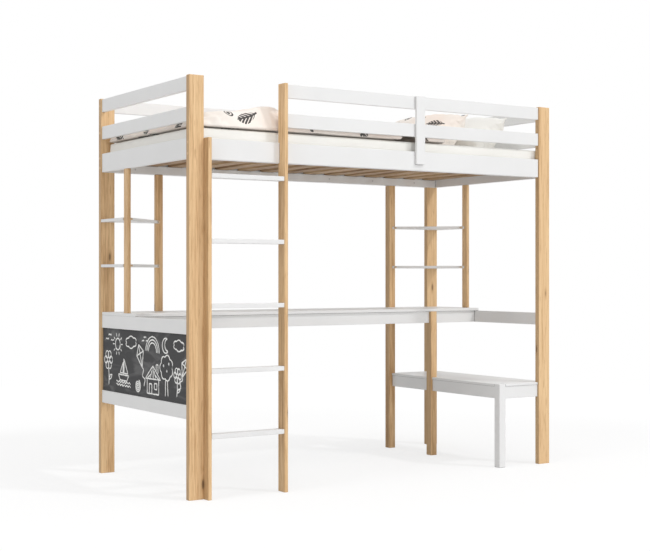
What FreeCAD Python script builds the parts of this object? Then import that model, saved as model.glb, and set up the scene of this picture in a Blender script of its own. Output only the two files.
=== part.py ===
import FreeCAD, Part
import math
import os

# Loft bed: a single bed on tall posts, with a ladder, a desk, corner shelves and a bench below it.
# Sizes are in millimetres. X runs from the chalkboard end to the bench end, Y from the ladder side
# to the wall side, Z up. The origin is on the floor, under the middle of the bed and its ladder.

Vector = FreeCAD.Vector
X = Vector(1, 0, 0)
Y = Vector(0, 1, 0)
Z = Vector(0, 0, 1)

# Frame
bed_length = 2080.0
bed_width = 966.0
under_bed_height = 1473.0
post_width = 72.0
post_depth = 28.0
post_stand = 4.0              # post top above the upper guard rail
board = 18.0                  # thickness of rails, aprons and uprights
reveal = 5.0                  # rail faces lie this far inside the post faces
side_rail_height = 91.0
guard_rail_height = 62.0
guard_gap = 71.0
edge_round = 1.6
post_round = 2.2

# Ladder and the stile that ties the front rails
ladder_proud = 39.0           # ladder face in front of the posts
ladder_depth = 56.0
rung_length = 367.0
rung_thickness = 20.0
rung_inset = 2.0
rung_count = 5
top_rung_drop = 154.0         # from the side rail's top down to the highest rung's top
ladder_top_drop = 2.0         # taller upright ends this far below the upper guard rail
stile_width = 50.0
stile_thickness = 15.0
stile_lap = 62.0              # how far the stile hangs over the side rail
stile_from_left = 1217.0

# Slats
ledger_height = 41.0
ledger_thickness = 20.0
slat_count = 15
slat_width = 74.0
slat_thickness = 15.0
slat_left_margin = 70.0
slat_right_margin = 12.0
slat_end_gap = 1.0

# Desk
desk_height = 790.0
desktop_thickness = 15.0
desk_front = 560.0            # desk's front edge behind the front post faces
desk_rail_height = 62.0
apron_setback = 15.0
leg_section = 40.0
desk_leg_from_right = 337.0   # from the bench end to the leg's far face
rear_leg_from_right = 347.0
notch_gap = 0.4

# Chalkboard
panel_thickness = 6.0
panel_setback = 6.0           # panel face behind the end rail's face
panel_groove = 6.5
panel_gap = 0.5

# Corner shelves
shelf_thickness = 14.0
upright_width = 40.0
shelf_reach_end = 324.0       # from the wall side along the end to the far side of the upright
shelf_reach_rear = 326.0      # from the end along the wall to the far side of the upright

# Bench
bench_height = 420.0
bench_top_thickness = 12.0
bench_rail_height = 61.0
bench_width = 330.0
bench_front_setback = 7.0
bench_apron_setback = 3.0

# Fasteners
dowel_radius = 4.0
dowel_length = 34.0
dowel_anchor = 12.0           # depth in the piece that a rail end butts against
thin_top_anchor = 7.0
dowel_clearance = 0.1
dowel_end_gap = 1.0
guard_dowel_offset = 18.0
bed_dowel_offset = 10.0
rung_dowel_offset = 14.0
screw_radius = 2.0
screw_length = 30.0
screw_head_radius = 4.0
screw_head_height = 2.4
screw_clearance = 0.2
screw_row_inset = 45.0        # first ledger screw beyond the bolt's end
ledger_screw_count = 7
ladder_screw_count = 3
desktop_dowel_count = 3       # along each long apron
ladder_screw_drop = 90.0      # screws in the short upright sit this far below a rung's top
ladder_screw_offset = 8.0     # screws through the side rail lie between its bolts
bolt_radius = 3.0
bolt_length = 108.0
bolt_recess = 9.0
bolt_head_radius = 6.0
bolt_head_height = 4.5
bolt_clearance = 0.3
bolt_offset = 24.0
cap_thickness = 3.5
nut_radius = 5.0
nut_length = 14.0
nut_setback = 36.0            # barrel nut's axis behind the rail end
nut_clearance = 0.1

# Mattress and bedding
mattress_height = 83.0
mattress_side_gap = 10.0
mattress_end_gap = 17.0
mattress_corner = 40.0
mattress_round = 14.0
soft_gap = 0.3
quilt_end_gap = 6.0
quilt_pillow_gap = 65.0
quilt_side_gap = 3.0
quilt_height = 92.0
quilt_undercut = 12.0
pillow_width = 270.0
pillow_thickness = 194.0
pillow_edge = 9.0
pillow_spacing = 6.0
pillow_sink = 18.0            # how much of the lower edge is pressed flat
pillow_end_gap = 119.0
pillow_side_gap = 150.0
pillow_lean = 50.0            # degrees from flat

# Places as shares: shelf tops between the desk and the bed, then stations along the quilt and pillows
lower_shelf_share = 0.34
upper_shelf_share = 0.663
quilt_station_shares = (0.0, 0.03, 0.1, 0.2, 0.285, 0.34, 0.43, 0.6, 0.76, 0.84, 0.93, 0.98, 1.0)
quilt_height_shares = (0.3, 0.72, 0.93, 0.96, 1.36, 1.28, 0.95, 0.92, 0.96, 1.1, 1.2, 1.05, 0.45)
quilt_inset_shares = (0.03, 0.012, 0.004, 0.0, 0.002, 0.0, 0.003, 0.0, 0.004, 0.001, 0.0, 0.01, 0.025)
quilt_shoulder_share = 0.92   # height of the rounded front edge against the crown
quilt_belly_share = 0.4
quilt_shoulder_in_share = 0.055
pillow_station_shares = (-1.0, -0.94, -0.8, -0.55, -0.25, 0.0, 0.25, 0.55, 0.8, 0.94, 1.0)
pillow_draw_share = 0.06      # how far the long sides draw in between the corners
match_share = 0.01            # two places count as one when closer than this share of the edge rounding

# Levels
side_rail_top = under_bed_height + side_rail_height
lower_guard_bottom = side_rail_top + guard_gap
upper_guard_bottom = lower_guard_bottom + guard_rail_height + guard_gap
upper_guard_top = upper_guard_bottom + guard_rail_height
post_height = upper_guard_top + post_stand
slat_bottom = under_bed_height + ledger_height
slat_top = slat_bottom + slat_thickness
mattress_bottom = slat_top + soft_gap
mattress_top = mattress_bottom + mattress_height
desk_underside = desk_height - desktop_thickness
desk_rail_bottom = desk_underside - desk_rail_height
bench_underside = bench_height - bench_top_thickness
bench_rail_bottom = bench_underside - bench_rail_height
rung_pitch = (side_rail_top - top_rung_drop) / rung_count
lower_shelf_top = desk_height + lower_shelf_share * (under_bed_height - desk_height)
upper_shelf_top = desk_height + upper_shelf_share * (under_bed_height - desk_height)

# Lines in plan
left = -bed_length / 2
right = bed_length / 2
front = (ladder_proud - bed_width) / 2
back = front + bed_width
left_post_inner = left + post_width
right_post_inner = right - post_width
front_post_inner = front + post_depth
back_post_inner = back - post_depth
front_rail_outer = front + reveal
front_rail_inner = front_rail_outer + board
back_rail_outer = back - reveal
back_rail_inner = back_rail_outer - board
left_rail_outer = left + reveal
left_rail_inner = left_rail_outer + board
right_rail_outer = right - reveal
right_rail_inner = right_rail_outer - board
ladder_front = front - ladder_proud
ladder_back = ladder_front + ladder_depth
left_upright_inner = left_post_inner + board
right_upright_left = left_upright_inner + rung_length
right_upright_right = right_upright_left + board
desk_edge = front + desk_front
desk_apron_face = desk_edge + apron_setback
desk_leg_left = right - desk_leg_from_right
desk_leg_right = desk_leg_left + leg_section
desk_leg_back = desk_edge + leg_section
rear_leg_left = right - rear_leg_from_right
rear_leg_right = rear_leg_left + leg_section
rear_leg_front = back - leg_section
bench_left = right - bench_width
bench_front = front + bench_front_setback
bench_leg_right = bench_left + leg_section
bench_leg_back = bench_front + leg_section
bench_apron_x = bench_left + bench_apron_setback
bench_apron_y = bench_front + bench_apron_setback
upright_front = back - shelf_reach_end
upright_back = upright_front + upright_width
rear_upright_right = left + shelf_reach_rear
rear_upright_left = rear_upright_right - upright_width
rear_upright_front = back_post_inner - board

lean = math.radians(pillow_lean)
pillow_length = back_rail_inner - front_rail_inner - 2 * pillow_side_gap
pillow_run = pillow_width * math.cos(lean)
pillow_rise = pillow_width * math.sin(lean)
pillow_step = (pillow_thickness + pillow_spacing) / math.sin(lean)
quilt_start = left_rail_inner + quilt_end_gap
quilt_end = right_rail_inner - pillow_end_gap - pillow_run - pillow_step - quilt_pillow_gap
quilt_length = quilt_end - quilt_start

pieces = {}
cutters = {}
group_names = ("frame_bolts", "barrel_nuts", "bolt_cover_caps", "wood_dowels", "wood_screws")
groups = {name: [] for name in group_names}


def block(x, y, z):
    """A plain box between pairs of coordinates."""
    return Part.makeBox(x[1] - x[0], y[1] - y[0], z[1] - z[0], Vector(x[0], y[0], z[0]))


def add_board(name, x, y, z, rounding=edge_round):
    """A board with eased edges."""
    box = block(x, y, z)
    pieces[name] = box.makeFillet(rounding, box.Edges)


def notch(x, y, z):
    """The space that a post or leg takes out of a board it passes, with its clearance."""
    return block((x[0] - notch_gap, x[1] + notch_gap), (y[0] - notch_gap, y[1] + notch_gap), z)


def drill(name, tool):
    """Keeps a cutting solid for one piece until all its joints are known."""
    cutters.setdefault(name, []).append(tool)


def middle(a, b):
    return (a + b) / 2


def centred_pair(centre, offset):
    return (centre - offset, centre + offset)


def spread(first, last, count):
    """Evenly spaced places from first to last."""
    step = (last - first) / (count - 1)
    return [first + step * index for index in range(count)]


def add_dowel(point, direction, into, out_of, anchor=dowel_anchor):
    """A dowel across the joint face at point, with its sockets in both pieces."""
    rest = dowel_length - anchor
    socket = dowel_radius + dowel_clearance
    groups["wood_dowels"].append(
        Part.makeCylinder(dowel_radius, dowel_length, point - direction * rest, direction))
    drill(into, Part.makeCylinder(socket, anchor + dowel_end_gap, point, direction))
    drill(out_of, Part.makeCylinder(socket, rest + dowel_end_gap, point, -direction))


def countersunk(point, direction, length, clearance):
    """A countersunk screw's form with its head flush at point."""
    head = Part.makeCone(screw_head_radius + clearance, screw_radius + clearance,
                         screw_head_height, point, direction)
    shank = Part.makeCylinder(screw_radius + clearance, length, point, direction)
    return head.fuse(shank).removeSplitter()


def add_screw(point, direction, through, into):
    """A wood screw driven from the face at point through one piece into the next."""
    groups["wood_screws"].append(countersunk(point, direction, screw_length, 0.0))
    hole = countersunk(point, direction, screw_length + dowel_end_gap, screw_clearance)
    drill(through, hole)
    drill(into, hole)


def add_bolt(y, z, side, post, rail, inner_face):
    """A bolt through a post into a rail end, with its barrel nut and cover cap. Side is -1 or 1 in X."""
    direction = X * -side
    face = Vector(side * right, y, z)
    seat = face + direction * bolt_recess
    rail_end = face + direction * post_width
    hole = bolt_radius + bolt_clearance
    mouth = bolt_head_radius + bolt_clearance
    head_start = seat - direction * bolt_head_height
    head = Part.makeCylinder(bolt_head_radius, bolt_head_height, head_start, direction)
    shank = Part.makeCylinder(bolt_radius, bolt_length, seat, direction)
    groups["frame_bolts"].append(head.fuse(shank).removeSplitter())
    cap_radius = mouth - dowel_clearance
    groups["bolt_cover_caps"].append(Part.makeCylinder(cap_radius, cap_thickness, face, direction))
    drill(post, Part.makeCylinder(mouth, bolt_recess, face, direction))
    drill(post, Part.makeCylinder(hole, post_width, face, direction))
    reach = bolt_length - (post_width - bolt_recess) + dowel_end_gap
    drill(rail, Part.makeCylinder(hole, reach, rail_end, direction))
    inward = Y if inner_face > y else -Y
    nut_middle = rail_end + direction * nut_setback
    nut_start = nut_middle - inward * (nut_length / 2)
    nut = Part.makeCylinder(nut_radius, nut_length, nut_start, inward)
    thread_start = nut_middle - direction * nut_radius
    thread = Part.makeCylinder(bolt_radius + nut_clearance, 2 * nut_radius, thread_start, direction)
    groups["barrel_nuts"].append(nut.cut(thread))
    depth = abs(inner_face - y) + nut_length / 2
    drill(rail, Part.makeCylinder(nut_radius + nut_clearance, depth, nut_start, inward))


def make_posts():
    for side, x in (("left", (left, left_post_inner)), ("right", (right_post_inner, right))):
        for place, y in (("front", (front, front_post_inner)), ("rear", (back_post_inner, back))):
            add_board("post_%s_%s" % (place, side), x, y, (0, post_height), post_round)


def add_end_rail(name, side, bottom, height, offset):
    """A rail between the two posts of one end, held by two dowels at each of its ends."""
    x = (left_rail_outer, left_rail_inner) if side == "left" else (right_rail_inner, right_rail_outer)
    add_board(name, x, (front_post_inner, back_post_inner), (bottom, bottom + height))
    for level in centred_pair(bottom + height / 2, offset):
        add_dowel(Vector(middle(*x), front_post_inner, level), -Y, "post_front_" + side, name)
        add_dowel(Vector(middle(*x), back_post_inner, level), Y, "post_rear_" + side, name)


def make_ends():
    rows = (("end_guard_rail_lower_", lower_guard_bottom, guard_rail_height, guard_dowel_offset),
            ("end_guard_rail_upper_", upper_guard_bottom, guard_rail_height, guard_dowel_offset),
            ("end_bed_rail_", under_bed_height, side_rail_height, bed_dowel_offset),
            ("end_desk_rail_", desk_rail_bottom, desk_rail_height, guard_dowel_offset),
            ("end_lower_rail_", bench_rail_bottom, bench_rail_height, guard_dowel_offset))
    for side in ("left", "right"):
        for word, bottom, height, offset in rows:
            add_end_rail(word + side, side, bottom, height, offset)


def make_chalkboard():
    """The panel stands in grooves of the two rails of the left end."""
    face = left_rail_outer + panel_setback
    rear = face + panel_thickness
    bottom = bench_underside - panel_groove + panel_gap
    top = desk_rail_bottom + panel_groove - panel_gap
    y = (front_post_inner + panel_gap, back_post_inner - panel_gap)
    pieces["chalkboard_panel"] = block((face, rear), y, (bottom, top))
    groove_x = (face - panel_gap / 2, rear + panel_gap / 2)
    groove_y = (front_post_inner, back_post_inner)
    low_groove = (bench_underside - panel_groove, bench_underside)
    high_groove = (desk_rail_bottom, desk_rail_bottom + panel_groove)
    drill("end_lower_rail_left", block(groove_x, groove_y, low_groove))
    drill("end_desk_rail_left", block(groove_x, groove_y, high_groove))


def make_side_rails():
    between = (left_post_inner, right_post_inner)
    level = (under_bed_height, side_rail_top)
    add_board("side_rail_front", between, (front_rail_outer, front_rail_inner), level)
    add_board("side_rail_rear", between, (back_rail_inner, back_rail_outer), level)
    rows = (("front", middle(front_rail_outer, front_rail_inner), front_rail_inner),
            ("rear", middle(back_rail_outer, back_rail_inner), back_rail_inner))
    for place, y, inner_face in rows:
        for side, word in ((-1, "left"), (1, "right")):
            for z in centred_pair(middle(*level), bolt_offset):
                add_bolt(y, z, side, "post_%s_%s" % (place, word), "side_rail_" + place, inner_face)


def make_guard_rails():
    for word, bottom in (("lower", lower_guard_bottom), ("upper", upper_guard_bottom)):
        level = (bottom, bottom + guard_rail_height)
        front_name = "guard_rail_%s_front" % word
        rear_name = "guard_rail_%s_rear" % word
        front_x = (right_upright_right, right_post_inner)
        rear_x = (left_post_inner, right_post_inner)
        add_board(front_name, front_x, (front_rail_outer, front_rail_inner), level)
        add_board(rear_name, rear_x, (back_rail_inner, back_rail_outer), level)
        z = middle(*level)
        front_y = middle(front_rail_outer, front_rail_inner)
        rear_y = middle(back_rail_outer, back_rail_inner)
        add_bolt(front_y, z, 1, "post_front_right", front_name, front_rail_inner)
        add_bolt(rear_y, z, -1, "post_rear_left", rear_name, back_rail_inner)
        add_bolt(rear_y, z, 1, "post_rear_right", rear_name, back_rail_inner)
        joint_y = middle(front_rail_outer, ladder_back)
        for level_z in centred_pair(z, guard_dowel_offset):
            add_dowel(Vector(right_upright_right, joint_y, level_z), -X, "ladder_upright_right", front_name)


def make_stile():
    """An upright board in front of the rails, screwed from behind."""
    x = (left + stile_from_left, left + stile_from_left + stile_width)
    add_board("guard_stile", x, (front_rail_outer - stile_thickness, front_rail_outer),
              (side_rail_top - stile_lap, upper_guard_top))
    quarter = stile_width / 4
    rows = (("side_rail_front", side_rail_top - stile_lap / 2),
            ("guard_rail_lower_front", lower_guard_bottom + guard_rail_height / 2),
            ("guard_rail_upper_front", upper_guard_bottom + guard_rail_height / 2))
    for rail, z in rows:
        for place in centred_pair(middle(*x), quarter):
            add_screw(Vector(place, front_rail_inner, z), -Y, rail, "guard_stile")


def make_ladder():
    """Two uprights notched over the side rail, with flat rungs dowelled between them."""
    y = (ladder_front, ladder_back)
    add_board("ladder_upright_left", (left_post_inner, left_upright_inner), y, (0, side_rail_top))
    add_board("ladder_upright_right", (right_upright_left, right_upright_right), y,
              (0, upper_guard_top - ladder_top_drop))
    rail_space = block((left_post_inner, right_upright_right), (front_rail_outer, front_rail_inner),
                       (under_bed_height, side_rail_top))
    rung_y = (ladder_front + rung_inset, ladder_back - rung_inset)
    for word, x in (("left", (left_post_inner, left_upright_inner)),
                    ("right", (right_upright_left, right_upright_right))):
        name = "ladder_upright_" + word
        drill(name, rail_space)
        for z in centred_pair(middle(under_bed_height, side_rail_top), ladder_screw_offset):
            add_screw(Vector(middle(*x), front_rail_inner, z), -Y, "side_rail_front", name)
    for index in range(rung_count):
        top = rung_pitch * (index + 1)
        name = "ladder_rung_%d" % (index + 1)
        add_board(name, (left_upright_inner, right_upright_left), rung_y, (top - rung_thickness, top))
        for place in centred_pair(middle(*rung_y), rung_dowel_offset):
            z = top - rung_thickness / 2
            add_dowel(Vector(left_upright_inner, place, z), -X, "ladder_upright_left", name)
            add_dowel(Vector(right_upright_left, place, z), X, "ladder_upright_right", name)
    for index in range(ladder_screw_count):
        z = rung_pitch * (index * 2 + 1) - ladder_screw_drop
        point = Vector(left_upright_inner, middle(front, ladder_back), z)
        add_screw(point, -X, "ladder_upright_left", "post_front_left")


def make_slats():
    """Slats screwed to a ledger along each side rail, which is notched round the posts."""
    x = (left_rail_inner, right_rail_inner)
    level = (under_bed_height, slat_bottom)
    slat_y = (front_post_inner + slat_end_gap, back_post_inner - slat_end_gap)
    front_y = (front_rail_inner, front_rail_inner + ledger_thickness)
    rear_y = (back_rail_inner - ledger_thickness, back_rail_inner)
    front_row = ("slat_ledger_front", front_y, -Y, "side_rail_front", (front, front_post_inner), slat_y[0])
    rear_row = ("slat_ledger_rear", rear_y, Y, "side_rail_rear", (back_post_inner, back), slat_y[1])
    first = left_rail_inner + slat_left_margin
    last = right_rail_inner - slat_right_margin - slat_width
    slats = []
    places = spread(first, last, slat_count)
    for place in places:
        box = block((place, place + slat_width), slat_y, (slat_bottom, slat_top))
        slats.append(box.makeFillet(edge_round, box.Edges))
    pieces["bed_slats"] = Part.makeCompound(slats)
    for name, y, direction, rail, post_y, slat_edge in (front_row, rear_row):
        add_board(name, x, y, level)
        for post_x in ((left, left_post_inner), (right_post_inner, right)):
            drill(name, notch(post_x, post_y, level))
        inner_face = y[1] if direction == -Y else y[0]
        inset = bolt_length + screw_row_inset
        for place in spread(x[0] + inset, x[1] - inset, ledger_screw_count):
            add_screw(Vector(place, inner_face, middle(*level)), direction, name, rail)
        for place in places:
            point = Vector(place + slat_width / 2, middle(slat_edge, inner_face), slat_top)
            add_screw(point, -Z, "bed_slats", name)


def add_desk_apron(name, x, y, left_piece, right_piece):
    """An apron under the desktop, dowelled at its ends to the pieces beside it."""
    level = (desk_rail_bottom, desk_underside)
    add_board(name, x, y, level)
    joint_y = middle(max(y[0], rear_leg_front), y[1]) if y[1] > rear_leg_front else middle(*y)
    for z in centred_pair(middle(*level), guard_dowel_offset):
        add_dowel(Vector(x[0], joint_y, z), -X, left_piece, name)
        add_dowel(Vector(x[1], joint_y, z), X, right_piece, name)


def make_desk():
    """A desktop on the end rails and aprons, with a front leg, and a rear leg up to the bed."""
    rear_y = (back_post_inner - board, back_post_inner)
    front_y = (desk_apron_face, desk_apron_face + board)
    leg_x = (desk_leg_left, desk_leg_right)
    leg_y = (desk_edge, desk_leg_back)
    rear_leg_x = (rear_leg_left, rear_leg_right)
    top_level = (desk_underside, desk_height)
    add_board("desktop", (left_rail_outer, right_rail_outer), (desk_edge, back_post_inner), top_level)
    drill("desktop", notch(rear_leg_x, (rear_leg_front, back), top_level))
    add_board("desk_front_leg", leg_x, leg_y, (0, desk_underside), post_round)
    add_board("rear_leg", rear_leg_x, (rear_leg_front, back), (0, under_bed_height), post_round)
    long_run = spread(left_rail_inner, desk_leg_left, desktop_dowel_count + 2)[1:-1]
    short_run = [middle(desk_leg_right, right_rail_inner)]
    rails = ("end_desk_rail_left", "end_desk_rail_right")
    sides = (("front", front_y, desk_leg_left, desk_leg_right, "desk_front_leg"),
             ("rear", rear_y, rear_leg_left, rear_leg_right, "rear_leg"))
    aprons = []
    for word, y, leg_left, leg_right, leg in sides:
        left_x = (left_rail_inner, leg_left)
        aprons.append(("desk_apron_%s_left" % word, left_x, y, rails[0], leg, long_run))
        right_x = (leg_right, right_rail_inner)
        aprons.append(("desk_apron_%s_right" % word, right_x, y, leg, rails[1], short_run))
    for name, x, y, left_piece, right_piece, places in aprons:
        add_desk_apron(name, x, y, left_piece, right_piece)
        for place in places:
            add_dowel(Vector(place, middle(*y), desk_underside), Z, "desktop", name, thin_top_anchor)
    leg_point = Vector(middle(*leg_x), middle(*leg_y), desk_underside)
    add_dowel(leg_point, Z, "desktop", "desk_front_leg", thin_top_anchor)
    rear_point = Vector(middle(*rear_leg_x), middle(back_rail_inner, back_rail_outer), under_bed_height)
    add_dowel(rear_point, Z, "side_rail_rear", "rear_leg")


def add_upright(name, x, y, above):
    """A shelf upright between the desktop and the bed frame, dowelled at both ends."""
    add_board(name, x, y, (desk_height, under_bed_height))
    add_dowel(Vector(middle(*x), middle(*y), desk_height), -Z, "desktop", name, thin_top_anchor)
    add_dowel(Vector(middle(*x), middle(*y), under_bed_height), Z, above, name)


def add_shelf(name, top, side, end_piece, rear_piece, rear_face, rear_near, rear_joint):
    """A three-cornered shelf: square at the post, cut round its uprights, open along the diagonal."""
    outer = left if side == "left" else right
    inner = left_rail_inner if side == "left" else right_rail_inner
    diagonal_y = middle(upright_front, upright_back)
    outline = [(outer, back_post_inner), (outer, upright_back), (inner, upright_back), (inner, diagonal_y),
               (rear_joint, rear_face), (rear_near, rear_face), (rear_near, back_post_inner)]
    points = [Vector(x, y, top - shelf_thickness) for x, y in outline]
    prism = Part.Face(Part.makePolygon(points + points[:1])).extrude(Z * shelf_thickness)
    start = Vector(inner, diagonal_y, top)
    run = Vector(rear_joint, rear_face, top) - start
    run.normalize()
    eased = [edge for edge in prism.Edges if is_along(edge, start, run)]
    pieces[name] = prism.makeFillet(edge_round, eased)
    level = top - shelf_thickness / 2
    inward = X if side == "left" else -X
    add_dowel(Vector(inner, middle(diagonal_y, upright_back), level), -inward, end_piece, name)
    add_dowel(Vector(middle(rear_near, rear_joint), rear_face, level), Y, rear_piece, name)
    post_x = middle(left, left_post_inner) if side == "left" else middle(right_post_inner, right)
    add_dowel(Vector(post_x, back_post_inner, level), Y, "post_rear_" + side, name)


def is_along(edge, start, run):
    """True for the two long edges of the shelf's diagonal side."""
    offsets = [vertex.Point - start for vertex in edge.Vertexes]
    flat = [Vector(offset.x, offset.y, 0) for offset in offsets]
    on_line = all(offset.cross(run).Length < edge_round * match_share for offset in flat)
    level_edge = abs(offsets[0].z - offsets[-1].z) < edge_round * match_share
    return on_line and level_edge


def make_shelves():
    y = (upright_front, upright_back)
    add_upright("shelf_upright_left_end", (left_rail_outer, left_rail_inner), y, "end_bed_rail_left")
    add_upright("shelf_upright_right_end", (right_rail_inner, right_rail_outer), y, "end_bed_rail_right")
    add_upright("shelf_upright_left_rear", (rear_upright_left, rear_upright_right),
                (rear_upright_front, back_post_inner), "slat_ledger_rear")
    for word, top in (("upper", upper_shelf_top), ("lower", lower_shelf_top)):
        add_shelf("corner_shelf_left_" + word, top, "left", "shelf_upright_left_end",
                  "shelf_upright_left_rear", rear_upright_front, rear_upright_left,
                  middle(rear_upright_left, rear_upright_right))
        add_shelf("corner_shelf_right_" + word, top, "right", "shelf_upright_right_end", "rear_leg",
                  rear_leg_front, rear_leg_right, middle(rear_leg_left, rear_leg_right))


def make_bench():
    """A bench across the right end, carried by its own leg, the desk leg, the rear leg and the end rail."""
    level = (bench_rail_bottom, bench_underside)
    top_level = (bench_underside, bench_height)
    leg_x = (bench_left, bench_leg_right)
    leg_y = (bench_front, bench_leg_back)
    add_board("bench_leg", leg_x, leg_y, (0, bench_height), post_round)
    add_board("bench_top", (bench_left, right_rail_outer), (bench_front, back_post_inner), top_level)
    passed = ((leg_x, leg_y), ((desk_leg_left, desk_leg_right), (desk_edge, desk_leg_back)),
              ((rear_leg_left, rear_leg_right), (rear_leg_front, back)),
              ((right_post_inner, right), (front, front_post_inner)))
    for x, y in passed:
        drill("bench_top", notch(x, y, top_level))
    front_y = (bench_apron_y, bench_apron_y + board)
    side_x = (bench_apron_x, bench_apron_x + board)
    add_board("bench_apron_front", (bench_leg_right, right_post_inner), front_y, level)
    add_board("bench_apron_left_front", side_x, (bench_leg_back, desk_edge), level)
    add_board("bench_apron_left_rear", side_x, (desk_leg_back, rear_leg_front), level)
    joint_y = middle(bench_apron_y, front_post_inner)
    rear_x = middle(bench_apron_x, rear_leg_right)
    for z in centred_pair(middle(*level), guard_dowel_offset):
        add_dowel(Vector(bench_leg_right, joint_y, z), -X, "bench_leg", "bench_apron_front")
        add_dowel(Vector(right_post_inner, joint_y, z), X, "post_front_right", "bench_apron_front")
        add_dowel(Vector(middle(*side_x), bench_leg_back, z), -Y, "bench_leg", "bench_apron_left_front")
        add_dowel(Vector(middle(*side_x), desk_edge, z), Y, "desk_front_leg", "bench_apron_left_front")
        add_dowel(Vector(middle(*side_x), desk_leg_back, z), -Y, "desk_front_leg", "bench_apron_left_rear")
        add_dowel(Vector(rear_x, rear_leg_front, z), Y, "rear_leg", "bench_apron_left_rear")
    side_middle = middle(*side_x)
    tops = (("bench_apron_front", middle(bench_leg_right, right_post_inner), middle(*front_y)),
            ("bench_apron_left_front", side_middle, middle(bench_leg_back, desk_edge)),
            ("bench_apron_left_rear", side_middle, middle(desk_leg_back, rear_leg_front)),
            ("end_lower_rail_right", middle(right_rail_inner, right_rail_outer), middle(front, back)))
    for name, place_x, place_y in tops:
        point = Vector(place_x, place_y, bench_underside)
        add_dowel(point, Z, "bench_top", name, thin_top_anchor)


def make_mattress():
    """A soft-edged pad that lies on the slats inside the rails."""
    x = (left_rail_inner + mattress_end_gap, right_rail_inner - mattress_end_gap)
    y = (front_rail_inner + mattress_side_gap, back_rail_inner - mattress_side_gap)
    box = block(x, y, (mattress_bottom, mattress_top))
    upright_edges = [edge for edge in box.Edges if abs(edge.tangentAt(edge.FirstParameter).z) > 0.5]
    body = box.makeFillet(mattress_corner, upright_edges)
    rims = [edge for edge in body.Edges if edge.BoundBox.ZLength < mattress_round]
    pieces["mattress"] = body.makeFillet(mattress_round, rims)


def quilt_section(x, height, inset):
    """The quilt's outline across the bed: flat below, rounded at both sides, crowned on top."""
    base = mattress_top + soft_gap
    low = front_rail_inner + quilt_side_gap + inset
    high = back_rail_inner - quilt_side_gap - inset
    width = high - low
    shoulder = quilt_shoulder_share * height
    step = quilt_shoulder_in_share * width
    belly = quilt_belly_share * height
    points = {"low_foot": (low + quilt_undercut, 0), "low_belly": (low, belly),
              "low_shoulder": (low + step, shoulder), "crown": (middle(low, high), height),
              "high_shoulder": (high - step, shoulder), "high_belly": (high, belly),
              "high_foot": (high - quilt_undercut, 0)}
    at = {name: Vector(x, y, base + z) for name, (y, z) in points.items()}
    edges = [Part.LineSegment(at["high_foot"], at["low_foot"]).toShape(),
             Part.Arc(at["low_foot"], at["low_belly"], at["low_shoulder"]).toShape(),
             Part.Arc(at["low_shoulder"], at["crown"], at["high_shoulder"]).toShape(),
             Part.Arc(at["high_shoulder"], at["high_belly"], at["high_foot"]).toShape()]
    return Part.Wire(edges)


def make_quilt():
    """A puffed quilt over the mattress, with its lump near the ladder and its turned-back roll."""
    width = back_rail_inner - front_rail_inner
    sections = []
    for place, rise, inset in zip(quilt_station_shares, quilt_height_shares, quilt_inset_shares):
        x = quilt_start + place * quilt_length
        sections.append(quilt_section(x, rise * quilt_height, inset * width))
    pieces["quilt"] = Part.makeLoft(sections, True, True)


def pillow_section(place):
    """One slice across a pillow lying flat, at a share of its half length from its middle."""
    swell = math.sqrt(max(0.0, 1.0 - place * place))
    half = pillow_width / 2 * (1.0 - pillow_draw_share * (1.0 - place * place))
    crown = pillow_edge + (pillow_thickness / 2 - pillow_edge) * swell
    rim = pillow_edge * (1.0 + swell) / 2
    crown = max(crown, rim * (1.0 + pillow_draw_share))
    y = place * pillow_length / 2
    corners = [Vector(-half, y, rim), Vector(half, y, rim), Vector(half, y, -rim), Vector(-half, y, -rim)]
    edges = [Part.Arc(corners[0], Vector(0, y, crown), corners[1]).toShape(),
             Part.LineSegment(corners[1], corners[2]).toShape(),
             Part.Arc(corners[2], Vector(0, y, -crown), corners[3]).toShape(),
             Part.LineSegment(corners[3], corners[0]).toShape()]
    return Part.Wire(edges)


def make_pillows():
    """Two pillows lean towards the right end, one behind the other, flattened where they rest."""
    form = Part.makeLoft([pillow_section(place) for place in pillow_station_shares], True, True)
    floor = mattress_top + soft_gap
    centre_x = right_rail_inner - pillow_end_gap - pillow_run / 2
    centre_y = middle(front_rail_inner, back_rail_inner)
    centre_z = floor + pillow_rise / 2 + pillow_edge - pillow_sink
    below = block((left, right), (front, back), (under_bed_height, floor))
    for name, shift in (("pillow_plain", 0.0), ("pillow_printed", pillow_step)):
        placed = form.copy()
        placed.rotate(Vector(0, 0, 0), Y, -pillow_lean)
        placed.translate(Vector(centre_x - shift, centre_y, centre_z))
        pieces[name] = placed.cut(below)


def finish_pieces():
    """Cuts every socket, groove and notch, and gathers the fasteners."""
    for name, tools in cutters.items():
        pieces[name] = pieces[name].cut(tools)
    for name, solids in groups.items():
        pieces[name] = Part.makeCompound(solids)


def write_pieces():
    os.makedirs("parts", exist_ok=True)
    for name, shape in sorted(pieces.items()):
        if not shape.isValid():
            raise ValueError(name + " is not a valid shape")
        shape.exportStep("parts/%s.step" % name)
        print("%-28s %3d solids %12.1f mm3" % (name, len(shape.Solids), shape.Volume))


make_posts()
make_ends()
make_chalkboard()
make_side_rails()
make_guard_rails()
make_stile()
make_ladder()
make_slats()
make_desk()
make_shelves()
make_bench()
make_mattress()
make_quilt()
make_pillows()
finish_pieces()
write_pieces()
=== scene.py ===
"""Looks of the loft bed: the finish of its boards and posts, the chalk drawing and the bedding."""

import math

import bmesh
import bpy
import numpy as np
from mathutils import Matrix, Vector, noise


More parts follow.
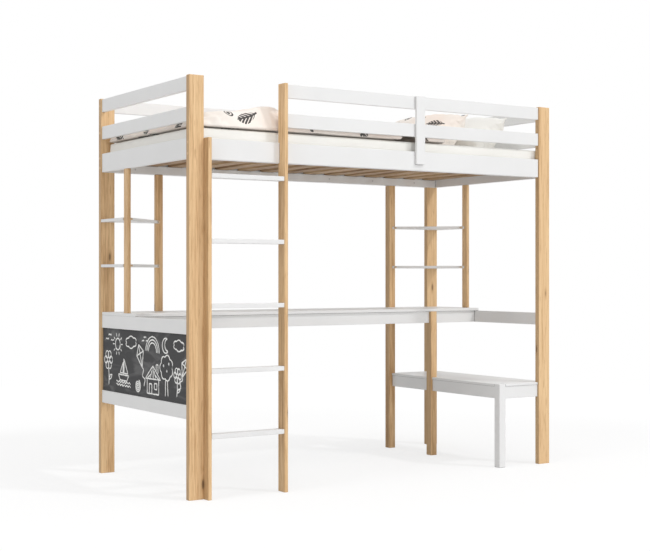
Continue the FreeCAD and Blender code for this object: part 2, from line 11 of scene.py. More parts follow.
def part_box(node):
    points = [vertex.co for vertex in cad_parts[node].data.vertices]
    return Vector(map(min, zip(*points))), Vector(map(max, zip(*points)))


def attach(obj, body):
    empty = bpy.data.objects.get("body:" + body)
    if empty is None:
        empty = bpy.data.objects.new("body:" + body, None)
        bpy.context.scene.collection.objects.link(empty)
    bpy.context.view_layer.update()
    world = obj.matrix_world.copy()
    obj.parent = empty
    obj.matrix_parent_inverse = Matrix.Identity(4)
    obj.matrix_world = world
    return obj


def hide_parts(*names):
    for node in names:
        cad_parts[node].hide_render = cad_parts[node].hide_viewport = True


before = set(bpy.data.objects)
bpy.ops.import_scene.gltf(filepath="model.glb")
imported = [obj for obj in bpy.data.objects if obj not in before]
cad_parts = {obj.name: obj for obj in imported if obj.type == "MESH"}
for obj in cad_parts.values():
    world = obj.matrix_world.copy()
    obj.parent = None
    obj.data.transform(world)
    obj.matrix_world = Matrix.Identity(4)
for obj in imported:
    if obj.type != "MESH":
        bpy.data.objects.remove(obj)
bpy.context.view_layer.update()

# Camera, at the photograph's place in the row frame: metres, degrees and millimetres of lens
CAMERA_PLACE = (-3.6187, -5.4840, 0.9682)
CAMERA_PITCH, CAMERA_TURN = 90.0, 33.1228
CAMERA_LENS = 72.41
SENSOR_WIDTH = 36.0

# Light: the share of plain white that comes from all round, and each lamp's place, width and watts
SKY_LEVEL = 0.55
LAMPS = {
    "key": ((12.7, -18.8, 20.6), 2.6, 2400.0),
    "side": ((-8.6, -1.8, 9.1), 5.0, 215.0),
    "front": ((0.0, -16.0, 2.4), 4.0, 378.0),
    "top": ((0.0, -3.0, 14.0), 8.0, 290.0),
}
LIGHT_AIM = Vector((0.0, 0.0, 0.9))
WHITE = (1.0, 1.0, 1.0, 1.0)

# Floor: near the bed it takes shadow, and from near to far it fades into the white background
FLOOR_REACH = 60.0
FLOOR_COLOUR = (0.70, 0.70, 0.70, 1.0)
FLOOR_ROUGHNESS = 0.9
FLOOR_NEAR, FLOOR_FAR = 2.0, 6.0
FLOOR_GLOW_SHARE, FLOOR_GLOW = 0.55, 1.25

# Finishes by node, where they aren't the white of the boards; posts, legs and one ladder upright take oak
# with painted side shade
FINISHES = {
    "post_front_left": "oak_shaded_sides",
    "post_rear_left": "oak_shaded_sides",
    "post_front_right": "oak_shaded_sides",
    "post_rear_right": "oak_shaded_sides",
    "desk_front_leg": "oak_shaded_sides",
    "rear_leg": "oak_shaded_sides",
    "ladder_upright_left": "oak_shaded_sides",
    "ladder_upright_right": "oak",
    "shelf_upright_left_end": "oak",
    "shelf_upright_left_rear": "oak",
    "shelf_upright_right_end": "oak",
    "chalkboard_panel": "chalkboard",
    "bed_slats": "slat_wood",
    "frame_bolts": "steel",
    "barrel_nuts": "steel",
    "wood_screws": "steel",
    "bolt_cover_caps": "cap_plastic",
    "wood_dowels": "dowel_wood",
}
SOFT_NODES = ["mattress", "quilt", "pillow_printed", "pillow_plain"]

# All finishes: where most values of a noise lie, and the sockets of the node that mixes colours
NOISE_RANGE, NOISE_MIDDLE = (0.3, 0.7), 0.5
MIX_FACTOR, MIX_COLOURS, MIX_RESULT = 0, (6, 7), 2

# Edges, and the shade painted into joins: how far a rounded normal leans from the true one, and how much of
# the view is open
BEVEL_SAMPLES, EDGE_RANGE = 4, (0.99, 0.80)
SEAM_SHADE_SAMPLES, SEAM_SHADE_RANGE = 8, (0.85, 0.40)

# Wood: tones from pale to dark, how its edges and shine differ, and the shade painted on its sides
OAK_TONES = ((0.86, 0.605, 0.34), (0.77, 0.515, 0.275), (0.53, 0.31, 0.145))
SLAT_TONES = ((0.57, 0.40, 0.24), (0.44, 0.285, 0.155), (0.22, 0.125, 0.065))
DOWEL_TONES = ((0.80, 0.64, 0.45), (0.72, 0.55, 0.37), (0.55, 0.39, 0.24))
X_AXIS, Y_AXIS, Z_AXIS = range(3)
WOOD_ROUNDING = 0.0015
WOOD_SHINE, WOOD_DULLER, WOOD_GLOSSIER = 0.35, 0.08, 0.06
WOOD_WORN_EDGE, WOOD_WORN_DEPTH = 0.0025, 0.3
# Painted shade on sides that face along X: from how far a face turns that way, and the tone of that shade
SIDE_SHADE_RANGE, SIDE_SHADE_TONE_SHARE = (0.5, 0.9), 0.45

# Grain: waves per metre across and along it, then the detail, roughness and distortion of its noise
WOOD_GRAIN = {
    "tone": (8.0, 0.6, 2.0, 0.5, 0.0),
    "figure": (34.0, 1.5, 3.0, 0.6, 0.7),
    "streaks": (150.0, 4.5, 4.0, 0.65, 0.0),
    "fibres": (520.0, 14.0, 4.0, 0.65, 0.0),
    "flecks": (170.0, 11.0, 3.0, 0.5, 0.0),
}
WOOD_WEIGHTS = {"tone": 0.65, "figure": 0.85, "fibres": 0.5}
WOOD_STOPS = (0.24, 0.50, 0.76)
FLECK_RANGE, FLECK_DEPTH = (0.59, 0.70), 0.65

# Knots: cells per metre across and along the grain, and the rim and heart in shares of a cell
KNOT_CELLS, KNOT_FADE = (14.0, 4.0), 0.04
KNOT_RINGS = (
    {"start": 0.20, "full": 0.08, "tone_share": 1.0, "depth": 0.55},
    {"start": 0.11, "full": 0.05, "tone_share": 0.3, "depth": 0.8},
)

# White boards, where a tint is a colour and how far the finish goes over to it
WHITE_TONES = ((0.825, 0.825, 0.822), (0.862, 0.862, 0.860))
BOARD_ROUNDING = 0.0012
BOARD_ROUGHNESS, BOARD_SHINE = (0.36, 0.46), 0.4
SCUFF_WAVES, SCUFF_RANGE, SCUFF_TINT = (40.0, 40.0, 160.0), (0.70, 0.80), ((0.70, 0.69, 0.67), 0.10)
BOARD_WORN_EDGE, BOARD_WORN_TINT = 0.0018, ((0.70, 0.69, 0.68), 0.30)
# Painted shade, darkest in the closed-in joins and corners where boards meet
SEAM_SHADE_REACH, SEAM_SHADE_TINT = 0.007, ((0.20, 0.195, 0.19), 0.75)

# Chalkboard: paint, wiped chalk and dust, and the strokes from broken to full
PAINT_COLOUR = (0.084, 0.084, 0.086)
PAINT_ROUGHNESS, PAINT_SHINE = (0.78, 0.92), 0.2
WIPED_WAVES, WIPED_RANGE, WIPED_TINT = (1.0, 2.2, 7.0), (0.48, 0.72), ((0.27, 0.27, 0.27), 0.40)
DUST_RANGE, DUST_TINT = (0.55, 0.85), ((0.34, 0.34, 0.34), 0.12)
CHALK_TONES = ((0.42, 0.42, 0.42), (0.96, 0.96, 0.94))
CHALK_ROUGHNESS, CHALK_SHINE = 0.95, 0.1
CHALK_PRESS_SHARE, CHALK_COVER_RANGE = 0.5, (0.46, 0.64)

# Fixings
STEEL_TONES, STEEL_ROUGHNESS = ((0.50, 0.50, 0.51), (0.68, 0.68, 0.67)), (0.28, 0.42)
STEEL_MARK_WAVES = (900.0, 900.0, 120.0)
CAP_TONES, CAP_ROUGHNESS = ((0.66, 0.44, 0.235), (0.73, 0.49, 0.27)), (0.42, 0.55)

# Cloth: the map that holds metres along it, its threads, tones and sheen
CLOTH_MAP = "cloth"
CLOTH_SHINE = 0.2
WEAVE_PITCH = 0.0016
SLUB_WAVES, SLUB_RANGE, SLUB_TINT = (60.0, 900.0, 1.0), (0.6, 0.8), ((0.78, 0.76, 0.72), 0.2)
COTTON_ROUGHNESS, COTTON_SHEEN = (0.80, 0.90), 0.15
COTTON_TONES = ((0.86, 0.845, 0.805), (0.92, 0.91, 0.875))
KNIT_ROUGHNESS, KNIT_SHEEN = (0.82, 0.92), 0.1
KNIT_TONES = ((0.95, 0.935, 0.89), (0.98, 0.97, 0.93))
WASH_STOPS = ((0.38, (0.93, 0.87, 0.81)), (0.55, (0.93, 0.84, 0.77)), (0.74, (0.93, 0.80, 0.71)))

# Print: the pitch of its motifs in metres, their sizes as shares of it, and which numbers give which motif
PRINT_PITCH, PRINT_SCATTER_SHARE = 0.15, 0.55
PRINT_TINT = ((0.02, 0.02, 0.02), 0.93)
TWIGS_BELOW, DOTS_ABOVE, RINGS_ABOVE = 0.46, 0.46, 0.72
TWIG_LENGTH, TWIG_WIDTH = 0.34, 0.17
TWIG_STROKES, TWIG_STROKE_SHARE, TWIG_SLANT = 2.6, 0.68, 1.1
TWIG_STEM_SHARE, TWIG_STEM_REACH = 0.16, 1.15
RING_RADIUS, RING_HALF_WIDTH, DOT_RADIUS = 0.13, 0.026, 0.065

# Filling: the cloth while it is blown up, and for each kind its pressure, spare cloth and furthest move
CLOTH_FRAMES = 20
TINY = 1e-9
CLOTH_SETTINGS = {
    "quality": 5,
    "mass": 0.25,
    "tension_stiffness": 20.0,
    "compression_stiffness": 12.0,
    "shear_stiffness": 6.0,
    "bending_stiffness": 0.05,
    "use_pressure": True,
}
QUILT_FILLING = {"pressure": 3.0, "slack": 0.08, "cap": 0.012}
PILLOW_FILLING = {"pressure": 4.0, "slack": 0.06, "cap": 0.010}

# Quilt: metres, and shares of its length and height
QUILT_GRID = (130, 90)
QUILT_HEIGHT, QUILT_LEAST_HEIGHT = 0.092, 0.02
QUILT_STATION_SHARES = (0.0, 0.03, 0.1, 0.2, 0.285, 0.34, 0.43, 0.6, 0.76, 0.84, 0.93, 0.98, 1.0)
QUILT_HEIGHT_SHARES = (0.6, 0.78, 0.95, 0.98, 1.42, 1.32, 0.95, 0.92, 0.96, 1.1, 1.2, 1.1, 0.8)
QUILT_LINE_POINTS, QUILT_LINE_BLUR = 201, 8
QUILT_SIDE_SHARE, QUILT_CROWN_SHARE = 0.92, 0.08
QUILT_SWELL = 0.003
QUILT_ROLL, QUILT_ROLL_CLOTH, QUILT_ROLL_POWER = 0.05, 0.075, 0.8
QUILT_CORNER = 0.035
QUILT_HEM, QUILT_HEM_DEPTHS = 0.008, (0.05, 0.09)
QUILT_TUCK, QUILT_TUCK_SHARE, QUILT_TUCK_SPREAD = 0.004, 0.35, 0.15
QUILT_RUMPLE = 0.010
QUILT_ARCH = 0.055
QUILT_ARCH_SHARES = (0.796, 0.816, 0.88, 0.915)
QUILT_ARCH_DEPTHS = (0.09, 0.26)

# Folds of the quilt: waves per metre along and across with a slice of noise, and how far a drift shifts them
FOLD_WAVES = {
    "drift": (2.1, 2.1, 3.7),
    "broad": (4.0, 3.2, 1.3),
    "ridge": (2.4, 5.5, 8.1),
    "small": (6.0, 9.0, 5.5),
}
FOLD_SHIFTS = {"drift": (0.0, 0.0), "broad": (1.0, 0.0), "ridge": (1.6, -1.0), "small": (-1.0, 2.0)}
FOLD_LINES = {
    "ridge": {"weight": 0.75, "sharpness": 5, "level": 0.75},
    "small": {"weight": 0.35, "sharpness": 6, "level": 0.65},
}
FOLD_BROAD_WEIGHT = 0.55

# Pillows: metres, radians, and shares and powers of their form
PILLOW_GRID = (40, 60)
PILLOW_SIZE = (0.270, 0.620, 0.194)
PILLOW_LEAN = math.radians(50.0)
PILLOW_SLUMP = (0.009, 0.0, -0.010)
PILLOW_SOFTNESS = 0.003
PILLOW_DRAW_IN_SHARE, PILLOW_CROWD_SHARE, PILLOW_CLOTH_SHARE = 0.06, 0.85, 0.55
PILLOW_SIDE_POWERS, PILLOW_CROWN_POWER = (2.2, 2.6), 0.55

# Mattress: metres, points along each stretch of its form, and waves per metre of its creases
MATTRESS_CORNER, MATTRESS_LEAST_CORNER = 0.014, 0.002
MATTRESS_EDGE = 0.010
MATTRESS_SPINE = 0.02
MATTRESS_STEPS = {"corner": 8, "long": 140, "short": 62, "edge": 4, "side": 8, "flat": 15}
MATTRESS_SINK, MATTRESS_CREASE, MATTRESS_CREASE_LEVEL = 0.0010, 0.0022, 0.6
MATTRESS_WAVES_ALONG, MATTRESS_WAVES_UP = 9.0, 26.0

# Chalk drawing: metres, points along its curves, and waves per metre and slices of the hand's noise
CHALK_WIDTH, CHALK_WIDTH_SWING, CHALK_END_SHARE = 0.0060, 0.5, 0.5
CHALK_DEPTH, CHALK_DEPTH_STEP = 0.00025, 2.5e-8
CHALK_STEP, CHALK_LEAST_POINTS = 0.005, 4
CHALK_WOBBLE = 0.0007
CHALK_WOBBLE_WAVES, CHALK_WIDTH_WAVES = 40.0, 60.0
CHALK_WOBBLE_SLICE, CHALK_WIDTH_SLICE, CHALK_SEED_STEP = 5.0, 20.0, 0.37
ARC_POINTS, ARC_LEAST_POINTS, CIRCLE_TURN = 28, 6, 1.03
SCALLOP_POINTS, SCALLOP_OVERLAP = 8, 3


class Look:
    """A material's node tree and its shader, with short calls for the nodes used here."""

    def __init__(self, name):
        self.material = bpy.data.materials.new(name)
        self.material.use_nodes = True
        self.tree = self.material.node_tree
        self.shader = self.tree.nodes["Principled BSDF"]
        self.place = self.node("TexCoord").outputs["Object"]

    def feed(self, socket, value):
        if isinstance(value, bpy.types.NodeSocket):
            self.tree.links.new(value, socket)
        else:
            socket.default_value = value

    def node(self, kind, settings=None, **inputs):
        made = self.tree.nodes.new("ShaderNode" + kind)
        for key, value in (settings or {}).items():
            setattr(made, key, value)
        for key, value in inputs.items():
            self.feed(made.inputs[key.replace("_", " ")], value)
        return made

    def surface(self, **inputs):
        for key, value in inputs.items():
            self.feed(self.shader.inputs[key.replace("_", " ")], value)

    def operate(self, kind, operation, values):
        made = self.node(kind, {"operation": operation})
        for socket, value in zip(made.inputs, values):
            self.feed(socket, value)
        return made.outputs

    def math(self, operation, *values):
        return self.operate("Math", operation, values)["Value"]

    def vector(self, operation, *values):
        return self.operate("VectorMath", operation, values)["Vector"]

    def measure(self, operation, *values):
        """A number worked out from vectors."""
        return self.operate("VectorMath", operation, values)["Value"]

    def split(self, vector):
        return self.node("SeparateXYZ", Vector=vector).outputs

    def noise(self, place, scale=1.0, detail=3.0, roughness=0.5, distortion=0.0):
        made = self.node(
            "TexNoise", Vector=place, Scale=scale, Detail=detail, Roughness=roughness, Distortion=distortion
        )
        return made.outputs["Fac"]

    def ramp(self, value, *stops):
        made = self.node("ValToRGB", Fac=value)
        elements = made.color_ramp.elements
        while len(elements) < len(stops):
            elements.new(1.0)
        for element, (position, colour) in zip(elements, stops):
            element.position = position
            element.color = (*colour, 1.0)
        return made.outputs["Color"]

    def between(self, value, low, high, to_low=0.0, to_high=1.0):
        """The value, eased from to_low at low to to_high at high."""
        made = self.node(
            "MapRange", {"interpolation_type": "SMOOTHSTEP"},
            Value=value, From_Min=low, From_Max=high, To_Min=to_low, To_Max=to_high,
        )
        return made.outputs[0]

    def varied(self, grain, low, high):
        """A number that goes from low to high with a noise."""
        return self.between(grain, *NOISE_RANGE, low, high)

    def two_tone(self, grain, first, second):
        """A colour that goes from the first to the second with a noise."""
        return self.ramp(grain, *zip(NOISE_RANGE, (first, second)))

    def mix(self, factor, first, second):
        made = self.node("Mix", {"data_type": "RGBA"})
        self.feed(made.inputs[MIX_FACTOR], factor)
        for socket, colour in zip(MIX_COLOURS, (first, second)):
            linked = isinstance(colour, bpy.types.NodeSocket)
            self.feed(made.inputs[socket], colour if linked else (*colour, 1.0))
        return made.outputs[MIX_RESULT]

    def tint(self, colour, mask, other, depth):
        """The colour, which goes over to the other by depth where the mask is 1."""
        return self.mix(self.math("MULTIPLY", mask, depth), colour, other)

    def bump(self, height, strength, distance):
        before = self.shader.inputs["Normal"]
        made = self.node("Bump", Height=height, Strength=strength, Distance=distance)
        if before.is_linked:
            self.feed(made.inputs["Normal"], before.links[0].from_socket)
        self.feed(before, made.outputs["Normal"])

    def rounded(self, radius):
        return self.node("Bevel", {"samples": BEVEL_SAMPLES}, Radius=radius).outputs["Normal"]

    def true_normal(self):
        return self.node("NewGeometry").outputs["True Normal"]

    def soften(self, radius):
        """Rounds the light on sharp edges."""
        self.surface(Normal=self.rounded(radius))

    def edges(self, radius):
        """About 1 on a board's edges and 0 on its faces."""
        lean = self.measure("DOT_PRODUCT", self.rounded(radius), self.true_normal())
        return self.between(lean, *EDGE_RANGE)

    def seam_shade(self, reach):
        """Painted shade: 0 on open faces, and up to 1 where boards meet and little of the view is open."""
        open_share = self.node("AmbientOcclusion", {"samples": SEAM_SHADE_SAMPLES}, Distance=reach).outputs["AO"]
        return self.between(open_share, *SEAM_SHADE_RANGE)


def shaded(colour, share):
    return [share * part for part in colour]


def knotted(look, colour, cells, knot_share, dark):
    """Adds knots with a dark rim and a darker heart to a share of the cells."""
    chosen = look.between(look.split(cells["Color"])[0], knot_share, knot_share + KNOT_FADE, 1.0, 0.0)
    for ring in KNOT_RINGS:
        inside = look.between(cells["Distance"], ring["start"], ring["full"])
        mask = look.math("MULTIPLY", inside, chosen)
        colour = look.tint(colour, mask, shaded(dark, ring["tone_share"]), ring["depth"])
    return colour


def wood(name, grain_axis, tones, knot_share, roughness, side_shade_depth=0.0):
    """Sawn wood with broad tone, fine fibres, short dark flecks and knots, all drawn out along one axis.
    Where asked, shade is painted on the sides that face along X, which are made darker by that depth."""
    pale, mid, dark = tones
    look = Look(name)
    look.soften(WOOD_ROUNDING)

    def stretched(across, along):
        return look.vector("MULTIPLY", look.place, [along if k == grain_axis else across for k in range(3)])

    grain = {}
    for part, (across, along, *character) in WOOD_GRAIN.items():
        grain[part] = look.noise(stretched(across, along), 1.0, *character)
    value = grain["streaks"]
    for part, weight in WOOD_WEIGHTS.items():
        value = look.math("MULTIPLY_ADD", look.math("SUBTRACT", grain[part], NOISE_MIDDLE), weight, value)
    flecks = look.between(grain["flecks"], *FLECK_RANGE)
    cells = look.node("TexVoronoi", Vector=stretched(*KNOT_CELLS), Scale=1.0)
    colour = look.ramp(value, *zip(WOOD_STOPS, (dark, mid, pale)))
    colour = look.tint(colour, flecks, dark, FLECK_DEPTH)
    colour = knotted(look, colour, cells.outputs, knot_share, dark)
    colour = look.tint(colour, look.edges(WOOD_WORN_EDGE), pale, WOOD_WORN_DEPTH)
    # Painted shade: the sides that face along X are darkened
    if side_shade_depth:
        facing = look.math("ABSOLUTE", look.split(look.true_normal())[X_AXIS])
        sides = look.between(facing, *SIDE_SHADE_RANGE)
        colour = look.tint(colour, sides, shaded(dark, SIDE_SHADE_TONE_SHARE), side_shade_depth)
    look.surface(
        Base_Color=colour,
        Roughness=look.varied(grain["fibres"], roughness + WOOD_DULLER, roughness - WOOD_GLOSSIER),
        Specular_IOR_Level=WOOD_SHINE,
    )
    look.bump(grain["fibres"], strength=0.25, distance=0.0004)
    look.bump(look.math("SUBTRACT", 1.0, flecks), strength=0.3, distance=0.0003)
    return look.material


def white_board():
    """Satin white lacquer: a faint orange peel, rubbed patches, scuffs, greyed edges, and shade painted where
    boards meet.
    """
    look = Look("white_board")
    look.soften(BOARD_ROUNDING)
    patches = look.noise(look.place, scale=3.5)
    peel = look.noise(look.place, scale=520.0, detail=2.0)
    scuffs = look.noise(look.vector("MULTIPLY", look.place, SCUFF_WAVES))
    colour = look.two_tone(patches, *WHITE_TONES)
    colour = look.tint(colour, look.between(scuffs, *SCUFF_RANGE), *SCUFF_TINT)
    colour = look.tint(colour, look.edges(BOARD_WORN_EDGE), *BOARD_WORN_TINT)
    # Painted shade where the joins and corners are closed in
    colour = look.tint(colour, look.seam_shade(SEAM_SHADE_REACH), *SEAM_SHADE_TINT)
    look.surface(
        Base_Color=colour, Roughness=look.varied(patches, *BOARD_ROUGHNESS), Specular_IOR_Level=BOARD_SHINE
    )
    look.bump(peel, strength=0.06, distance=0.0003)
    return look.material


def chalkboard():
    """Matt dark grey paint with the pale clouds of wiped chalk."""
    look = Look("chalkboard")
    swipes = look.vector("MULTIPLY", look.place, WIPED_WAVES)
    wiped = look.noise(swipes, scale=2.4, detail=5.0, distortion=1.2)
    dust = look.noise(look.place, scale=260.0)
    colour = look.tint(PAINT_COLOUR, look.between(wiped, *WIPED_RANGE), *WIPED_TINT)
    colour = look.tint(colour, look.between(dust, *DUST_RANGE), *DUST_TINT)
    look.surface(
        Base_Color=colour, Roughness=look.varied(dust, *PAINT_ROUGHNESS), Specular_IOR_Level=PAINT_SHINE
    )
    look.bump(dust, strength=0.15, distance=0.0003)
    return look.material


def chalk():
    """Chalk strokes, broken where the stick skipped over the grain of the board."""
    look = Look("chalk")
    grain = look.noise(look.place, scale=420.0, detail=4.0, roughness=0.7)
    pressed = look.noise(look.place, scale=28.0, detail=2.0)
    cover = look.between(look.math("MULTIPLY_ADD", pressed, CHALK_PRESS_SHARE, grain), *CHALK_COVER_RANGE)
    colour = look.mix(cover, *CHALK_TONES)
    look.surface(Base_Color=colour, Roughness=CHALK_ROUGHNESS, Specular_IOR_Level=CHALK_SHINE)
    look.bump(grain, strength=0.4, distance=0.0003)
    return look.material


def steel():
    """Zinc-plated steel with fine turning marks."""
    look = Look("steel")
    marks = look.noise(look.vector("MULTIPLY", look.place, STEEL_MARK_WAVES))
    colour = look.two_tone(marks, *STEEL_TONES)
    look.surface(Base_Color=colour, Roughness=look.varied(marks, *STEEL_ROUGHNESS), Metallic=1.0)
    look.bump(marks, strength=0.1, distance=0.0002)
    return look.material


def cap_plastic():
    """Moulded plastic of the bolt covers, in the tone of the oak, with a fine spark texture."""
    look = Look("cap_plastic")
    spark = look.noise(look.place, scale=900.0, detail=2.0)
    look.surface(Base_Color=look.two_tone(spark, *CAP_TONES), Roughness=look.varied(spark, *CAP_ROUGHNESS))
    look.bump(spark, strength=0.15, distance=0.0002)
    return look.material


def cloth_coordinates(look):
    """Metres along the cloth, from the piece's own map."""
    return look.node("UVMap", {"uv_map": CLOTH_MAP}).outputs["UV"]


def slubbed(look, place):
    """A noise of thick and thin threads."""
    return look.noise(look.vector("MULTIPLY", place, SLUB_WAVES), detail=2.0)


def woven(look, place):
    """Adds the small over-and-under of a plain weave."""
    threads = look.split(place)
    turns = 2 * math.pi / WEAVE_PITCH
    across, along = (look.math("SINE", look.math("MULTIPLY", threads[k], turns)) for k in range(2))
    look.bump(look.math("MULTIPLY", across, along), strength=0.12, distance=0.0002)


def cotton(look, place, colour, slubs, crease_scale):
    """Gives cotton its colour, sheen, soft creases and weave."""
    look.surface(
        Base_Color=colour,
        Roughness=look.varied(slubs, *COTTON_ROUGHNESS),
        Sheen_Weight=COTTON_SHEEN,
        Specular_IOR_Level=CLOTH_SHINE,
    )
    crease = look.noise(place, crease_scale, detail=4.0, distortion=0.8)
    look.bump(crease, strength=0.25, distance=0.004)
    woven(look, place)
    return look.material


def plain_fabric():
    """Off-white cotton with soft creases and slubs."""
    look = Look("plain_fabric")
    place = cloth_coordinates(look)
    slubs = slubbed(look, place)
    colour = look.two_tone(look.noise(look.place, scale=6.0), *COTTON_TONES)
    colour = look.tint(colour, look.between(slubs, *SLUB_RANGE), *SLUB_TINT)
    return cotton(look, place, colour, slubs, crease_scale=22.0)


def twig(look, along, across):
    """1 on a feathery twig: a stem with slanting strokes that narrow towards its ends."""
    side = look.math("ABSOLUTE", across)
    reach = look.math("DIVIDE", look.math("ABSOLUTE", along), TWIG_LENGTH)
    taper = look.math("SUBTRACT", 1.0, look.math("MULTIPLY", reach, reach))
    inside = look.math("LESS_THAN", side, look.math("MULTIPLY", taper, TWIG_WIDTH))
    slant = look.math("MULTIPLY_ADD", side, -TWIG_SLANT, along)
    phase = look.math("FRACT", look.math("MULTIPLY", slant, TWIG_STROKES / TWIG_LENGTH))
    strokes = look.math("LESS_THAN", phase, TWIG_STROKE_SHARE)
    on_stem = look.math("LESS_THAN", side, TWIG_WIDTH * TWIG_STEM_SHARE)
    stem = look.math("MULTIPLY", on_stem, look.math("LESS_THAN", reach, TWIG_STEM_REACH))
    return look.math("MAXIMUM", look.math("MULTIPLY", inside, strokes), stem)


def print_mask(look, place):
    """1 where the print is black: one motif to each cell of a loose grid, turned at random."""
    cells = look.node(
        "TexVoronoi", {"voronoi_dimensions": "2D"},
        Vector=place, Scale=1.0 / PRINT_PITCH, Randomness=PRINT_SCATTER_SHARE,
    ).outputs
    pick, angle, _ = look.split(cells["Color"])
    offset = look.vector("SUBTRACT", place, cells["Position"])
    offset = look.vector("MULTIPLY", offset, (1 / PRINT_PITCH,) * 3)
    turn = look.math("MULTIPLY", angle, 2 * math.pi)
    turned = look.node("VectorRotate", {"rotation_type": "Z_AXIS"}, Vector=offset, Angle=turn)
    along, across, _ = look.split(turned.outputs["Vector"])
    distance = look.measure("LENGTH", offset)
    ring = look.math("COMPARE", distance, RING_RADIUS, RING_HALF_WIDTH)
    dot = look.math("LESS_THAN", distance, DOT_RADIUS)
    twigs = look.math("MULTIPLY", twig(look, along, across), look.math("LESS_THAN", pick, TWIGS_BELOW))
    rings = look.math("MULTIPLY", ring, look.math("GREATER_THAN", pick, RINGS_ABOVE))
    dots = look.math("MULTIPLY", dot, look.math("GREATER_THAN", pick, DOTS_ABOVE))
    return look.math("MAXIMUM", twigs, look.math("MAXIMUM", rings, dots))


def printed_fabric():
    """Cream cotton with a sparse black print of twigs, rings and dots, and a faint peach wash."""
    look = Look("printed_fabric")
    place = cloth_coordinates(look)
    wash = look.noise(place, scale=3.2, distortion=0.5)
    colour = look.tint(look.ramp(wash, *WASH_STOPS), print_mask(look, place), *PRINT_TINT)
    return cotton(look, place, colour, slubbed(look, place), crease_scale=20.0)


def mattress_fabric():
    """Cream knitted cover."""
    look = Look("mattress_fabric")
    knit = look.noise(look.place, scale=700.0, detail=2.0)
    look.surface(
        Base_Color=look.two_tone(look.noise(look.place, scale=5.0), *KNIT_TONES),
        Roughness=look.varied(knit, *KNIT_ROUGHNESS),
        Sheen_Weight=KNIT_SHEEN,
        Specular_IOR_Level=CLOTH_SHINE,
    )
    look.bump(knit, strength=0.2, distance=0.0005)
    return look.material


def finishes():
    """All materials by name."""
    return {
        "oak": wood("oak", Z_AXIS, OAK_TONES, knot_share=0.55, roughness=0.46),
        # Oak with painted shade on the sides that face along X
        "oak_shaded_sides": wood("oak_shaded_sides", Z_AXIS, OAK_TONES, knot_share=0.55, roughness=0.46, side_shade_depth=0.34),
        "slat_wood": wood("slat_wood", Y_AXIS, SLAT_TONES, knot_share=0.34, roughness=0.6),
        "dowel_wood": wood("dowel_wood", X_AXIS, DOWEL_TONES, knot_share=0.0, roughness=0.6),
        "white_board": white_board(),
        "chalkboard": chalkboard(),
        "chalk": chalk(),
        "steel": steel(),
        "cap_plastic": cap_plastic(),
        "mattress_fabric": mattress_fabric(),
        "plain_fabric": plain_fabric(),
        "printed_fabric": printed_fabric(),
    }


def paint_nodes(looks):
    """Gives every rigid CAD node its finish."""
    for name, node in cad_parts.items():
        if name in SOFT_NODES:
            continue
        for material_slot in node.material_slots:
            material_slot.material = looks[FINISHES.get(name, "white_board")]


def new_piece(name, points, faces, material, smooth=True):
    """A mesh object from arrays of points and faces."""
    mesh = bpy.data.meshes.new(name)
    mesh.from_pydata([tuple(p) for p in points], [], [tuple(int(i) for i in f) for f in faces])
    mesh.materials.append(material)
    piece = bpy.data.objects.new(name, mesh)
    bpy.context.scene.collection.objects.link(piece)
    mesh.polygons.foreach_set("use_smooth", [smooth] * len(mesh.polygons))
    return piece


def two_panels(name, upper, lower, cloth, material):
    """A closed bag of two panels sewn round their rim, and which of its points lie on that rim. upper and
    lower are grids of points that share the rim, and cloth is the same grid laid flat, in metres."""
    rows, columns = upper.shape[:2]
    index = np.arange(rows * columns).reshape(rows, columns)
    inner = np.zeros((rows, columns), bool)
    inner[1:-1, 1:-1] = True
    below = index.copy()
    below[inner] = rows * columns + np.arange(inner.sum())
    points = np.concatenate([upper.reshape(-1, 3), lower[inner]])
    near, far = slice(None, -1), slice(1, None)
    corners = [(near, near), (far, near), (far, far), (near, far)]
    top_faces = np.stack([index[c] for c in corners], -1).reshape(-1, 4)
    low_faces = np.stack([below[c] for c in reversed(corners)], -1).reshape(-1, 4)
    piece = new_piece(name, points, np.concatenate([top_faces, low_faces]), material)
    flat_top = np.stack([cloth[c] for c in corners], -2).reshape(-1, 2)
    flat_low = np.stack([cloth[c] for c in reversed(corners)], -2).reshape(-1, 2) + cloth[-1, -1]
    layer = piece.data.uv_layers.new(name=CLOTH_MAP)
    layer.data.foreach_set("uv", np.concatenate([flat_top, flat_low]).ravel())
    rim = np.zeros(len(points), bool)
    rim[: inner.size] = ~inner.ravel()
    return piece, rim


def mesh_points(mesh):
    flat = np.zeros(len(mesh.vertices) * 3)
    mesh.vertices.foreach_get("co", flat)
    return flat.reshape(-1, 3)


def set_points(piece, points):
    piece.data.vertices.foreach_set("co", points.ravel())
    piece.data.update()


def swell(piece, pinned, pressure, slack, cap):
    """Lets the fabric fill and buckle as cloth. slack is how much larger it is cut than its form, and no
    point moves further than cap."""
    rest = mesh_points(piece.data)
    group = piece.vertex_groups.new(name="pinned")
    group.add([int(i) for i in np.nonzero(pinned)[0]], 1.0, "REPLACE")
    cloth = piece.modifiers.new("cloth", "CLOTH")
    settings = cloth.settings
    for key, value in CLOTH_SETTINGS.items():
        setattr(settings, key, value)
    settings.shrink_min = -slack
    settings.uniform_pressure_force = pressure
    settings.effector_weights.gravity = 0.0
    settings.vertex_group_mass = group.name
    cloth.collision_settings.use_collision = False
    cloth.point_cache.frame_end = CLOTH_FRAMES
    scene = bpy.context.scene
    for step in range(1, CLOTH_FRAMES + 1):
        scene.frame_set(step)
    graph = bpy.context.evaluated_depsgraph_get()
    moved = mesh_points(piece.evaluated_get(graph).data) - rest
    piece.modifiers.remove(cloth)
    piece.vertex_groups.remove(group)
    scene.frame_set(1)
    length = np.linalg.norm(moved, axis=1, keepdims=True)
    set_points(piece, rest + moved * np.minimum(1.0, cap / np.maximum(length, TINY)))


